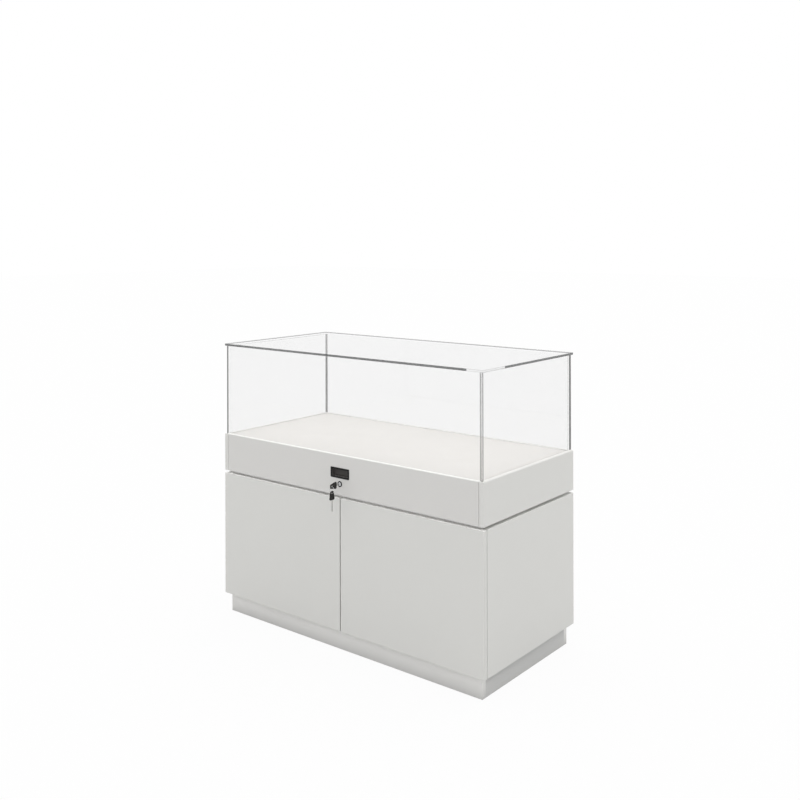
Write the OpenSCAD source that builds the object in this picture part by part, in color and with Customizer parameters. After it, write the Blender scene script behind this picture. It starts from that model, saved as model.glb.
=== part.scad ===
/* [Overall] */
// Width of the cabinet over its side panels
case_w = 1200; // [900:10:1500]
// Depth of the cabinet over its doors and back panel, more where its slides need it
case_d = 572; // [540:1:700]
// Height of the plinth
plinth_h = 70; // [50:1:120]
// Height of the storage cabinet above the plinth
body_h = 465; // [420:1:700]
// Height of the shadow gap between the storage cabinet and the deck
reveal_h = 10; // [6:1:20]
// Height of the deck that carries the glass
deck_h = 140; // [130:1:200]
// Height of the upright panes above the deck
glass_h = 340; // [200:5:600]
// How far the plinth and the shadow gap stand back from the faces above
recess = 19; // [12:0.5:40]

/* [Boards] */
// Thickness of the cabinet boards
board_t = 18; // [17:0.5:22]
// Thickness of the plinth boards
plinth_t = 18; // [15:0.5:22]
// Thickness of the drawer's sides and back
drawer_t = 15; // [12:0.5:18]
// Width of the small bevel along a board's edges
board_bevel = 1; // [0.5:0.1:2]

/* [Doors] */
// Gap between a door's back face and the carcass edges
door_gap = 2; // [1.8:0.1:3]
// Gap between the two doors
meeting_gap = 4; // [2:0.5:6]
// How far a door stays below the cabinet's top and above its bottom
door_trim = 0.5; // [0.5:0.5:3]
// Distance from a door's end to the middle of its hinge
hinge_inset = 90; // [70:5:150]

/* [Shelves] */
// Height of a shelf's underside above the bottom panel
shelf_rise = 205; // [120:5:260]
// How far a shelf stands back from the carcass front
shelf_setback = 30; // [20:5:100]
// Distance from a shelf's front or back edge to its pins
pin_inset = 50; // [30:5:80]
// Diameter of a shelf pin
pin_d = 5; // [4:0.5:7]

/* [Glass] */
// Thickness of the upright panes
pane_t = 8; // [6:0.5:9]
// Thickness of the top pane
top_t = 8; // [6:0.5:12]
// How far the side panes stand in from the sides of the deck
pane_inset_x = 6; // [3:0.5:6]
// How far the front and back panes stand in from the front and back of the deck
pane_inset_y = 5; // [3:0.5:6]
// Depth of the groove that holds a pane
groove_d = 10; // [6:1:14]
// Width of the polished bevel along a pane's edges
pane_bevel = 0.8; // [0.4:0.1:1.5]
// Gap between the moving front pane and the panes around it
pane_gap = 1; // [0.5:0.25:2]

/* [Drawer and slides] */
// Gap between the drawer and the deck's side and back panels
front_gap = 1; // [0.6:0.1:2]
// Gap between the deck's base and the drawer box above it
drawer_lift = 8; // [4:1:30]
// Length of each slide member
slide_len = 500; // [400:10:580]
// Least room between the drawer's back and the deck's back panel
slide_room = 4; // [2:1:40]
// Height of the outer slide member
slide_h = 45.5; // [42:0.5:50]
// Thickness of a whole slide, from deck panel to drawer side
slide_t = 12.7; // [12.7:0.1:13.5]
// Thickness of the slide members' steel
steel_t = 1.2; // [1:0.1:1.4]
// Diameter of the slides' balls
ball_d = 3.2; // [3:0.1:3.4]
// Balls in each row
ball_count = 8; // [4:1:12]
// Distance between two balls in a row
ball_pitch = 22; // [12:1:26]

/* [Cup hinges] */
// Diameter of a hinge cup
cup_d = 35; // [35:0.5:37]
// Depth of a hinge cup in the door
cup_depth = 13.5; // [13.2:0.1:14]
// Board left between a hinge cup and the door's outer edge
cup_edge = 5; // [4:0.5:5.5]
// Diameter of the hinge pivot pins
pivot_d = 3; // [2.5:0.1:3.2]
// Width of a hinge link
link_w = 12; // [10:1:12]

/* [Push latches] */
// Diameter of a latch plunger
plunger_d = 8; // [6:0.5:9]
// Travel of a latch plunger into its body
plunger_travel = 3; // [2:0.5:5]
// Length of a latch body
latch_len = 62; // [50:1:80]

/* [Lock and pull] */
// Height of the lock's centre above the deck's underside
lock_rise = 40; // [38:1:44]
// Diameter of the lock's face
lock_face_d = 20; // [19:0.5:24]
// Diameter of the lock's barrel through the drawer front
lock_barrel_d = 16.5; // [16:0.5:18]
// Diameter of the turning plug
plug_d = 12; // [11:0.5:12.5]
// Width of the black flush pull
pull_w = 86; // [60:1:120]
// Height of the black flush pull
pull_h = 36; // [28:1:40]
// Depth of the pull's finger recess
pull_depth = 10; // [6:1:12]
// Height of the pull's centre above the deck's underside
pull_rise = 78; // [76:1:90]

/* [Keys] */
// Thickness of a key's blade
blade_t = 2; // [1.6:0.1:2.4]
// Height of a key's blade
blade_h = 7; // [6:0.5:7.5]
// Thickness of a key's black head
head_t = 2.8; // [2.6:0.1:3.6]
// Length of a key's head
head_len = 31; // [26:1:34]
// Greatest width of a key's head
head_w = 24; // [20:1:26]
// Width of a key's head at its outer end
head_tip_w = 15; // [13:1:18]
// Diameter of the hole in a key's head
head_hole_d = 6.2; // [4.4:0.2:7]
// Mean diameter of the key ring
ring_d = 20; // [18:1:30]
// Diameter of the ring's wire
wire_d = 1.6; // [1.2:0.1:2]

/* [Hidden] */
$fn = 48;

// Running clearance on a radius, fit clearance of fixed pieces and air between moving pieces
run_gap = 0.05;
fit_gap = 0.1;
air_gap = 0.4;

lacquer = [0.86, 0.855, 0.845];
plinth_grey = [0.80, 0.795, 0.785];
glass_tint = [0.90, 0.95, 0.95, 0.35];
steel = [0.68, 0.69, 0.71];
chrome = [0.82, 0.83, 0.85];
black = [0.10, 0.10, 0.10];
grey = [0.6, 0.6, 0.6];
dark_grey = [0.35, 0.35, 0.35];

// Faces and levels of the cabinet
half_w = case_w / 2;
depth = max(case_d, slide_len + 2 * board_t + slide_room);
front_y = -depth / 2;
back_y = depth / 2;
carcass_y = front_y + board_t + door_gap;
inner_x = half_w - board_t;
inner_y = back_y - board_t;
body_z = plinth_h + body_h;
deck_z = body_z + reveal_h;
floor_z = deck_z + deck_h;
hood_z = floor_z + glass_h;
side_pane_x = half_w - pane_inset_x - pane_t;
tongue_x = inner_x - board_t;

// The storage bays
bottom_z = plinth_h + board_t;
ceiling_z = body_z - board_t;
shelf_z = bottom_z + shelf_rise;
partition_x = board_t / 2;
shelf_side_gap = 1;
shelf_front_y = carcass_y + shelf_setback;
shelf_back_y = inner_y - shelf_side_gap;
pin_front_y = shelf_front_y + pin_inset;
pin_back_y = shelf_back_y - pin_inset;
pin_reach = 8;

// The drawer
drawer_top_z = floor_z - board_t;
drawer_low_z = deck_z + board_t + drawer_lift;
drawer_x = inner_x - slide_t;
drawer_inner_x = drawer_x - drawer_t;
drawer_back_y = front_y + board_t + slide_len;
floor_back_gap = 2;

// The slides, centred on the drawer's sides
slide_z = (drawer_low_z + drawer_top_z) / 2;
slide_setback = 2;
slide_front_y = front_y + board_t + slide_setback;
ball_gap = ball_d + 2 * run_gap;
flange_1 = slide_h / 2 - steel_t;
flange_2 = flange_1 - ball_gap;
flange_3 = flange_2 - steel_t - ball_gap;
cage_t = 0.6;
race_lip = 0.8;
race_gap = 0.3;
web_2 = steel_t + 2 * air_gap + cage_t;
race_1 = web_2 + steel_t + race_lip + ball_d / 2;
race_2 = race_1 + 2;
race_half_1 = flange_1 - ball_gap / 2;
race_half_2 = flange_3 + ball_gap / 2;
slide_tip = slide_t - 2;
slide_hole_inset = 37;
slide_hole_pitch = 96;
screw_hole_d = 4.6;
cage_end = 6;
cage_len = (ball_count - 1) * ball_pitch + 2 * cage_end;
cage_y = slide_front_y + (slide_len - cage_len) / 2;

// A cup hinge, measured inward from the door's outer edge and back from its front
cup_x = cup_edge + cup_d / 2;
cup_wall = 0.8;
cup_fit = 0.3;
wing_t = 1.2;
wing_w = 17;
wing_h = 16;
wing_shift = 1.5;
wing_corner_r = 3;
wing_hole_step = 6;
wing_hole_x = cup_x + wing_hole_step;
wing_hole_z = 24;
wing_hole_d = 4.2;
edge_y = board_t + door_gap;
cup_pin_inset = 6;
cup_pin_depth = 7.5;
arm_pin_inset = 16;
arm_pin_back = 7;
cup_pin = [cup_edge + cup_pin_inset, board_t - cup_pin_depth];
arm_pin = [board_t + arm_pin_inset, edge_y + arm_pin_back];
link_t = 2.5;
link_low_step = [9.5, -3.2];
link_bend_step = [16.5, 3];
link_low = cup_pin + link_low_step;
link_bend = cup_pin + link_bend_step;
eye_r = pivot_d / 2 + 1.8;
cheek_t = 1.5;
cheek_rim = 1.2;
cheek_z = link_w / 2 + 1;
arm_setback = 22;
arm_start = edge_y + arm_setback;
arm_len = 40;
arm_back = arm_start + arm_len;
arm_slope = [6, 14];
crown_x = arm_pin[0] + eye_r + cheek_rim;
crown_gap = 2;
plate_t = 2.5;
plate_w = 24;
plate_h = 48;
plate_corner_r = 4;
plate_setback = 37;
plate_hole_y = edge_y + plate_setback;
plate_hole_z = 16;
plate_hole_d = 5;
hinge_z = [plinth_h + hinge_inset, body_z - hinge_inset];

// The latches
latch_step = 12;
latch_x = partition_x + latch_step;
latch_wall = 3;
latch_h = plunger_d + 2 * latch_wall;
latch_setback = 4;
latch_y = carcass_y + latch_setback;
latch_play = 1;
touch_gap = 0.3;
plunger_reach = 24;

// The lock, the keys and the ring
lock_z = deck_z + lock_rise;
flange_t = 1.5;
barrel_len = board_t + 8;
nut_t = 4;
nut_rim = 4;
tail_len = 5;
tail_w = 5;
cam_t = 2;
cam_w = 12;
cam_len = 19;
strike_w = 40;
strike_t = 2;
strike_foot = 24;
strike_clear = 1;
strike_top_z = lock_z - cam_w / 2 - 3;
keyway_len = 22;
shoulder_len = 18;
blade_root = 2;
bit_count = 4;
bit_pitch = 4.5;
bit_start = shoulder_len + 5;
bit_size = 1.6;
bit_step = 0.5;
mill_w = 1.6;
mill_depth = 0.5;
mill_z = [-1.6, 0.6];
hole_inset = 8;
head_tip_r = 4;
head_corner_r = 5;
key_out_y = front_y - shoulder_len;
hole_y = key_out_y - head_len + hole_inset;
wire_drop = (head_hole_d - wire_d) / 2 - touch_gap;
ring_z = lock_z - wire_drop - ring_d / 2;
spare_hole_z = ring_z - ring_d / 2 - wire_drop;

// The flush pull
pull_z = deck_z + pull_rise;
pull_lip_t = 1.5;
pull_lip = 4;
pull_wall = 1.6;
pull_corner_r = 2;
pull_cup_r = 3;

// A box from one corner to the other
module block(low, high) {
    translate(low) cube(high - low);
}

// A rectangle with its corners cut off
module cut_corners(size, bevel) {
    polygon([
        [bevel, 0], [size[0] - bevel, 0], [size[0], bevel], [size[0], size[1] - bevel],
        [size[0] - bevel, size[1]], [bevel, size[1]], [0, size[1] - bevel], [0, bevel]
    ]);
}

// A box with a small bevel along all its edges
module board(low, high, bevel = board_bevel) {
    size = high - low;
    translate(low) intersection() {
        linear_extrude(size[2]) cut_corners([size[0], size[1]], bevel);
        translate([0, size[1], 0]) rotate([90, 0, 0]) linear_extrude(size[1]) cut_corners([size[0], size[2]], bevel);
        rotate([90, 0, 90]) linear_extrude(size[0]) cut_corners([size[1], size[2]], bevel);
    }
}

// The right-hand twin of a left-hand piece
module right_hand() {
    mirror([1, 0, 0]) children();
}

// An upright rod in a hinge, round the point p of the hinge plan
module upright(p, r, height) {
    translate([p[0], p[1], -height / 2]) cylinder(r = r, h = height);
}

// Puts a hinge drawn at its own plan in both places on the left door
module at_left_hinges() {
    for (z = hinge_z) translate([-half_w, front_y, z]) children();
}

// A slide profile, drawn as depth from the deck panel by height, run along the slide
module along_slide(start_y, length) {
    translate([-inner_x, start_y + length, slide_z]) rotate([90, 0, 0]) linear_extrude(length) children();
}

// Plinth
module plinth_front() {
    color(plinth_grey)
    block([-half_w + recess, front_y + recess, 0], [half_w - recess, front_y + recess + plinth_t, plinth_h]);
}

module plinth_back() {
    color(plinth_grey)
    block([-half_w + recess, back_y - recess - plinth_t, 0], [half_w - recess, back_y - recess, plinth_h]);
}

module plinth_left() {
    color(plinth_grey)
    block(
        [-half_w + recess, front_y + recess + plinth_t, 0],
        [-half_w + recess + plinth_t, back_y - recess - plinth_t, plinth_h]
    );
}

module plinth_right() {
    right_hand() plinth_left();
}

module plinth_cross() {
    color(plinth_grey)
    block(
        [-plinth_t / 2, front_y + recess + plinth_t, 0],
        [plinth_t / 2, back_y - recess - plinth_t, plinth_h]
    );
}

// Storage cabinet
module bottom_panel() {
    color(lacquer) block([-inner_x, carcass_y, plinth_h], [inner_x, inner_y, bottom_z]);
}

module side_panel_left() {
    color(lacquer) difference() {
        board([-half_w, carcass_y, plinth_h], [-inner_x, back_y, body_z]);
        pin_holes([-inner_x]);
    }
}

module side_panel_right() {
    right_hand() side_panel_left();
}

module back_panel() {
    color(lacquer) block([-inner_x, inner_y, plinth_h], [inner_x, back_y, body_z]);
}

module top_panel() {
    color(lacquer) block([-inner_x, carcass_y, ceiling_z], [inner_x, inner_y, body_z]);
}

module centre_partition() {
    color(lacquer) difference() {
        block([-partition_x, carcass_y, bottom_z], [partition_x, inner_y, ceiling_z]);
        pin_holes([-partition_x, partition_x]);
    }
}

// Pins or pin holes across the faces at these places
module pin_rods(faces, r, reach) {
    for (x = faces, y = [pin_front_y, pin_back_y])
        translate([x - reach, y, shelf_z - pin_d / 2]) rotate([0, 90, 0]) cylinder(r = r, h = 2 * reach);
}

module pin_holes(faces) {
    pin_rods(faces, pin_d / 2 + run_gap, pin_reach);
}

module shelf_pins() {
    color(steel)
    pin_rods([-inner_x, -partition_x, partition_x, inner_x], pin_d / 2, pin_reach - fit_gap);
}

module shelf_left() {
    color(lacquer)
    board(
        [-inner_x + shelf_side_gap, shelf_front_y, shelf_z],
        [-partition_x - shelf_side_gap, shelf_back_y, shelf_z + board_t]
    );
}

module shelf_right() {
    right_hand() shelf_left();
}

module reveal_board() {
    color(plinth_grey)
    block([-half_w + recess, front_y + recess, body_z], [half_w - recess, back_y - recess, deck_z]);
}

// Deck
module deck_base() {
    color(lacquer) block([-inner_x, carcass_y, deck_z], [inner_x, inner_y, deck_z + board_t]);
}

module deck_side_left() {
    color(lacquer) difference() {
        board([-half_w, front_y, deck_z], [-inner_x, back_y, floor_z]);
        block(
            [-half_w + pane_inset_x - fit_gap, front_y + pane_inset_y - fit_gap, floor_z - groove_d],
            [-half_w + pane_inset_x + pane_t + fit_gap, back_y - pane_inset_y + fit_gap, floor_z + 1]
        );
    }
}

module deck_side_right() {
    right_hand() deck_side_left();
}

module deck_back() {
    color(lacquer) difference() {
        board([-inner_x, inner_y, deck_z], [inner_x, back_y, floor_z]);
        tongue_groove(back_y - pane_inset_y - pane_t);
    }
}

// The groove for the tongue of a front or back pane, from its near face
module tongue_groove(y) {
    block(
        [-tongue_x - fit_gap, y - fit_gap, floor_z - groove_d],
        [tongue_x + fit_gap, y + pane_t + fit_gap, floor_z + 1]
    );
}

// Glass
module glass_left() {
    color(glass_tint)
    board(
        [-half_w + pane_inset_x, front_y + pane_inset_y, floor_z - groove_d],
        [-side_pane_x, back_y - pane_inset_y, hood_z],
        pane_bevel
    );
}

module glass_right() {
    right_hand() glass_left();
}

// A cross pane with a tongue in the groove below it
module cross_pane(y, reach, low, high) {
    color(glass_tint) {
        board([-reach, y, low], [reach, y + pane_t, high], pane_bevel);
        block([-tongue_x, y, floor_z - groove_d], [tongue_x, y + pane_t, low + 2 * pane_bevel]);
    }
}

module glass_back() {
    cross_pane(back_y - pane_inset_y - pane_t, side_pane_x, floor_z, hood_z);
}

module glass_front() {
    cross_pane(front_y + pane_inset_y, side_pane_x - pane_gap, floor_z + air_gap, hood_z - pane_gap);
}

module glass_top() {
    color(glass_tint)
    board([-half_w, front_y, hood_z], [half_w, back_y, hood_z + top_t], pane_bevel);
}

// Drawer
module drawer_front() {
    color(lacquer) difference() {
        board([-inner_x + front_gap, front_y, deck_z], [inner_x - front_gap, front_y + board_t, floor_z]);
        tongue_groove(front_y + pane_inset_y);
        translate([0, front_y - 1, lock_z]) rotate([-90, 0, 0])
            cylinder(d = lock_barrel_d + 2 * run_gap, h = board_t + 2);
        block(
            [-pull_w / 2 + pull_lip - fit_gap, front_y - 1, pull_z - pull_h / 2 + pull_lip - fit_gap],
            [
                pull_w / 2 - pull_lip + fit_gap,
                front_y + pull_depth + pull_wall,
                pull_z + pull_h / 2 - pull_lip + fit_gap
            ]
        );
    }
}

module display_floor() {
    color(lacquer)
    board(
        [-inner_x + front_gap, front_y + board_t, drawer_top_z],
        [inner_x - front_gap, inner_y - floor_back_gap, floor_z]
    );
}

module drawer_side_left() {
    color(lacquer)
    block(
        [-drawer_x, front_y + board_t, drawer_low_z],
        [-drawer_inner_x, drawer_back_y, drawer_top_z]
    );
}

module drawer_side_right() {
    right_hand() drawer_side_left();
}

// The drawer's back ends higher than its sides, so that it passes over the lock's strike
module drawer_back() {
    color(lacquer)
    block(
        [-drawer_inner_x, drawer_back_y - drawer_t, strike_top_z + strike_clear],
        [drawer_inner_x, drawer_back_y, drawer_top_z]
    );
}

// A rectangle round its centre with rounded corners
module round_rect(w, h, r) {
    square([w - 2 * r, h], center = true);
    square([w, h - 2 * r], center = true);
    for (x = [-1, 1], y = [-1, 1]) translate([x * (w / 2 - r), y * (h / 2 - r)]) circle(r);
}

// A thin lip round a finger recess
module flush_pull() {
    cup_w = pull_w - 2 * pull_lip;
    cup_h = pull_h - 2 * pull_lip;
    color(black) translate([0, front_y, pull_z]) rotate([90, 0, 0]) difference() {
        union() {
            linear_extrude(pull_lip_t) round_rect(pull_w, pull_h, pull_corner_r);
            translate([0, 0, -pull_depth - pull_wall])
                linear_extrude(pull_depth + pull_wall) round_rect(cup_w, cup_h, pull_corner_r);
        }
        translate([0, 0, -pull_depth])
            linear_extrude(pull_depth + pull_lip_t + 1)
            round_rect(cup_w - 2 * pull_wall, cup_h - 2 * pull_wall, pull_cup_r);
    }
}

// Slides: three nested steel members with balls between them
// A channel with its web at web_x and flanges that end at tip_x, with ball races cut in the flanges
module channel(web_x, tip_x, half_h, race_x, race_half) {
    low = min(web_x, tip_x);
    high = max(web_x, tip_x);
    web_low = web_x < tip_x ? web_x : web_x - steel_t;
    difference() {
        union() {
            translate([web_low, -half_h]) square([steel_t, 2 * half_h]);
            for (s = [-1, 1]) translate([low, s * (half_h - steel_t / 2) - steel_t / 2])
                square([high - low, steel_t]);
        }
        for (i = [0 : len(race_x) - 1], s = [-1, 1])
            translate([race_x[i], s * race_half[i]]) circle(r = ball_d / 2 + run_gap + race_gap);
    }
}

// Screw holes through the web of a member that starts at start_y
module web_holes(start_y) {
    last_y = start_y + slide_len - slide_hole_inset;
    for (y = [start_y + slide_hole_inset : slide_hole_pitch : last_y])
        translate([-inner_x - 1, y, slide_z]) rotate([0, 90, 0]) cylinder(d = screw_hole_d, h = slide_t + 2);
}

module slide_outer_left() {
    color(steel) difference() {
        along_slide(slide_front_y, slide_len)
            channel(0, slide_tip, slide_h / 2, [race_1], [race_half_1]);
        web_holes(slide_front_y);
    }
}

module slide_outer_right() {
    right_hand() slide_outer_left();
}

module slide_middle_left() {
    color(steel) along_slide(slide_front_y, slide_len)
        channel(web_2, slide_tip, flange_2, [race_1, race_2], [race_half_1, race_half_2]);
}

module slide_middle_right() {
    right_hand() slide_middle_left();
}

module slide_inner_left() {
    color(steel) difference() {
        along_slide(front_y + board_t, slide_len)
            channel(slide_t, race_2 - ball_d / 2 - race_lip, flange_3, [race_2], [race_half_2]);
        web_holes(front_y + board_t);
    }
}

module slide_inner_right() {
    right_hand() slide_inner_left();
}

// A bent strip with one row of balls above and one below
module ball_cage(web_x, race_x, race_half) {
    strip_w = race_x + ball_d / 2 + race_lip - web_x;
    difference() {
        along_slide(cage_y, cage_len) {
            translate([web_x, -race_half - cage_t / 2]) square([cage_t, 2 * race_half + cage_t]);
            for (s = [-1, 1]) translate([web_x, s * race_half - cage_t / 2]) square([strip_w, cage_t]);
        }
        balls(race_x, race_half, ball_d / 2 + run_gap);
    }
    balls(race_x, race_half, ball_d / 2);
}

module balls(race_x, race_half, r) {
    for (i = [0 : ball_count - 1], s = [-1, 1])
        translate([-inner_x + race_x, cage_y + cage_end + i * ball_pitch, slide_z + s * race_half]) sphere(r);
}

module outer_ball_cages() {
    color(chrome) for (side = [0, 1]) mirror([side, 0, 0])
        ball_cage(steel_t + air_gap, race_1, race_half_1);
}

module inner_ball_cages() {
    color(chrome) for (side = [0, 1]) mirror([side, 0, 0])
        ball_cage(web_2 + steel_t + air_gap, race_2, race_half_2);
}

// Lock
module along_lock(y, length) {
    translate([0, y, lock_z]) rotate([-90, 0, 0]) linear_extrude(length) children();
}

module lock_housing() {
    color(chrome) difference() {
        union() {
            along_lock(front_y - flange_t, flange_t) circle(d = lock_face_d);
            along_lock(front_y, barrel_len) circle(d = lock_barrel_d);
        }
        along_lock(front_y - flange_t - 1, barrel_len + flange_t + 2) circle(d = plug_d + 2 * run_gap);
    }
}

module lock_nut() {
    color(steel) along_lock(front_y + board_t, nut_t) difference() {
        circle(d = lock_barrel_d + 2 * nut_rim, $fn = 6);
        circle(d = lock_barrel_d + 2 * run_gap);
    }
}

module lock_plug() {
    plug_y = front_y - flange_t;
    color(chrome) difference() {
        union() {
            along_lock(plug_y, barrel_len + flange_t + air_gap) circle(d = plug_d);
            along_lock(plug_y, barrel_len + flange_t + air_gap + tail_len)
                square(tail_w, center = true);
        }
        along_lock(plug_y - 1, 1 + flange_t + keyway_len + air_gap)
            square([blade_t + 2 * fit_gap, blade_h + 2 * fit_gap], center = true);
    }
}

module lock_cam() {
    color(steel) along_lock(front_y + barrel_len + air_gap, cam_t) difference() {
        union() {
            circle(d = cam_w);
            translate([0, -cam_w / 2]) square([cam_len, cam_w]);
        }
        square(tail_w + 2 * run_gap, center = true);
    }
}

// An angle on the deck base whose lip stands between the drawer front and the cam
module lock_strike() {
    lip_y = front_y + barrel_len - air_gap - strike_t;
    base_z = deck_z + board_t;
    color(steel) {
        block([-strike_w / 2, lip_y, base_z], [strike_w / 2, lip_y + strike_t, strike_top_z]);
        block([-strike_w / 2, lip_y, base_z], [strike_w / 2, lip_y + strike_foot, base_z + strike_t]);
    }
}

// Keys, drawn with the blade along +X from the end of the head
module blade_shape() {
    difference() {
        translate([-blade_root, -blade_h / 2]) square([shoulder_len + keyway_len + blade_root, blade_h]);
        for (i = [0 : bit_count - 1]) translate([bit_start + bit_pitch * i, blade_h / 2]) rotate(45)
            square(bit_size + bit_step * (i % 2), center = true);
    }
}

module head_shape() {
    difference() {
        hull() {
            for (s = [-1, 1]) {
                translate([-head_corner_r, s * (head_w / 2 - head_corner_r)]) circle(head_corner_r);
                translate([-head_len + head_tip_r, s * (head_tip_w / 2 - head_tip_r)]) circle(head_tip_r);
            }
        }
        translate([-head_len + hole_inset, 0]) circle(d = head_hole_d);
    }
}

// Stands a key's outline upright in the middle plane, pointing into the lock
module upright_key(thickness) {
    rotate([90, 0, 90]) linear_extrude(thickness, center = true) children();
}

module in_lock() {
    translate([0, key_out_y, lock_z]) children();
}

// Hangs the spare key from the ring by its hole, blade down
module on_ring() {
    translate([0, hole_y, spare_hole_z - head_len + hole_inset]) rotate([-90, 0, 0]) children();
}

// A key's blade with a milled groove along each side
module key_metal() {
    color(steel) difference() {
        upright_key(blade_t) blade_shape();
        for (s = [0, 1]) mirror([s, 0, 0])
            block(
                [blade_t / 2 - mill_depth, bit_start - bit_pitch, mill_z[s] - mill_w / 2],
                [blade_t, shoulder_len + keyway_len + 1, mill_z[s] + mill_w / 2]
            );
    }
}

module key_plastic() {
    color(black) difference() {
        upright_key(head_t) head_shape();
        block(
            [-blade_t / 2 - fit_gap, -blade_root - fit_gap, -blade_h / 2 - fit_gap],
            [blade_t / 2 + fit_gap, 1, blade_h / 2 + fit_gap]
        );
    }
}

module key_blade() {
    in_lock() key_metal();
}

module key_head() {
    in_lock() key_plastic();
}

module key_ring() {
    color(chrome) translate([0, hole_y, ring_z]) rotate([90, 0, 0])
        rotate_extrude() translate([ring_d / 2, 0]) circle(d = wire_d);
}

module spare_key_blade() {
    on_ring() key_metal();
}

module spare_key_head() {
    on_ring() key_plastic();
}

// Doors
module door_left() {
    color(lacquer) difference() {
        board(
            [-half_w, front_y, plinth_h + door_trim],
            [-meeting_gap / 2, front_y + board_t, body_z - door_trim]
        );
        at_left_hinges() translate([cup_x, board_t - cup_depth - fit_gap, 0]) rotate([-90, 0, 0])
            cylinder(d = cup_d + 2 * cup_fit, h = cup_depth + 1);
    }
}

module door_right() {
    right_hand() door_left();
}

// Cup hinges
module hinge_cup() {
    difference() {
        union() {
            translate([cup_x, board_t - cup_depth, 0]) rotate([-90, 0, 0]) cylinder(d = cup_d, h = cup_depth);
            for (s = [-1, 1]) translate([cup_x + wing_shift, board_t, s * (cup_d / 2 + wing_h / 4)])
                rotate([-90, 0, 0]) linear_extrude(wing_t) round_rect(wing_w, wing_h, wing_corner_r);
        }
        translate([cup_x, board_t - cup_depth + cup_wall, 0]) rotate([-90, 0, 0])
            cylinder(d = cup_d - 2 * cup_wall, h = cup_depth + 2);
        for (s = [-1, 1]) translate([wing_hole_x, board_t - 1, s * wing_hole_z]) rotate([-90, 0, 0])
            cylinder(d = wing_hole_d, h = wing_t + 2);
    }
    chord = 2 * sqrt(pow(cup_d / 2 - cup_wall / 2, 2) - pow(cup_x - cup_pin[0], 2));
    upright(cup_pin, pivot_d / 2, chord);
}

module hinge_cups_left() {
    color(steel) at_left_hinges() hinge_cup();
}

module hinge_cups_right() {
    right_hand() hinge_cups_left();
}

// The direction to the left of the way from p to q
function left_of(p, q) = [p[1] - q[1], q[0] - p[0]] / norm(q - p);

// Sideways step at point i of a path that keeps a strip of half width 1 even through its bends
function side_step(path, i) =
    let (
        before = left_of(path[max(i - 1, 0)], path[max(i, 1)]),
        after = left_of(path[min(i, len(path) - 2)], path[min(i + 1, len(path) - 1)])
    )
    (before + after) / (1 + before * after);

// A strip of even width along a path
module strip(path, w) {
    steps = [for (i = [0 : len(path) - 1]) side_step(path, i) * w / 2];
    polygon(concat(path + steps, [for (i = [len(path) - 1 : -1 : 0]) path[i] - steps[i]]));
}

// A goose-neck link: low along the cup, round the door's edge and out to the arm
module hinge_link() {
    translate([0, 0, -link_w / 2]) linear_extrude(link_w) difference() {
        union() {
            strip([cup_pin, link_low, link_bend, arm_pin], link_t);
            for (p = [cup_pin, arm_pin]) translate(p) circle(eye_r);
        }
        for (p = [cup_pin, arm_pin]) translate(p) circle(pivot_d / 2 + run_gap);
    }
}

module hinge_links_left() {
    color(steel) at_left_hinges() hinge_link();
}

module hinge_links_right() {
    right_hand() hinge_links_left();
}

// The arm on the side panel: a screwed plate, a channel over it and two cheeks that hold the pin
module hinge_arm() {
    difference() {
        translate([board_t, plate_hole_y, 0]) rotate([90, 0, 90])
            linear_extrude(plate_t) round_rect(plate_w, plate_h, plate_corner_r);
        for (s = [-1, 1]) translate([board_t - 1, plate_hole_y, s * plate_hole_z]) rotate([0, 90, 0])
            cylinder(d = plate_hole_d, h = plate_t + 2);
    }
    for (s = [-1, 1]) translate([0, 0, s * (cheek_z + cheek_t / 2) - cheek_t / 2])
        linear_extrude(cheek_t) cheek();
    block(
        [crown_x - cheek_t, arm_pin[1] + eye_r + crown_gap, -cheek_z],
        [crown_x, arm_back - arm_slope[1], cheek_z]
    );
    block([board_t, arm_start, -cheek_z], [board_t + plate_t, arm_back, cheek_z]);
    upright(arm_pin, pivot_d / 2, 2 * cheek_z + cheek_t);
}

// One side wall of the arm, round the pin and down to the panel at both ends
module cheek() {
    nose_r = eye_r + cheek_rim;
    polygon([
        [board_t, arm_start], [arm_pin[0] - nose_r, arm_pin[1]], [crown_x, arm_pin[1]],
        [crown_x, arm_back - arm_slope[1]], [crown_x - arm_slope[0], arm_back], [board_t, arm_back]
    ]);
    translate(arm_pin) circle(nose_r);
}

module hinge_arms_left() {
    color(steel) at_left_hinges() hinge_arm();
}

module hinge_arms_right() {
    right_hand() hinge_arms_left();
}

// Push latches under the top panel
module latch_rod(y, length, r) {
    translate([-latch_x, y, ceiling_z - latch_h / 2]) rotate([-90, 0, 0]) cylinder(r = r, h = length);
}

module latch_body() {
    difference() {
        board(
            [-latch_x - latch_h / 2, latch_y, ceiling_z - latch_h],
            [-latch_x + latch_h / 2, latch_y + latch_len, ceiling_z]
        );
        latch_rod(latch_y - 1, 1 + plunger_reach + plunger_travel + latch_play, plunger_d / 2 + run_gap);
    }
}

module latch_bodies() {
    color(grey) for (side = [0, 1]) mirror([side, 0, 0]) latch_body();
}

module latch_plunger_left() {
    tip_y = front_y + board_t + touch_gap;
    color(dark_grey) latch_rod(tip_y, latch_y + plunger_reach - tip_y, plunger_d / 2);
}

module latch_plunger_right() {
    right_hand() latch_plunger_left();
}

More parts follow.
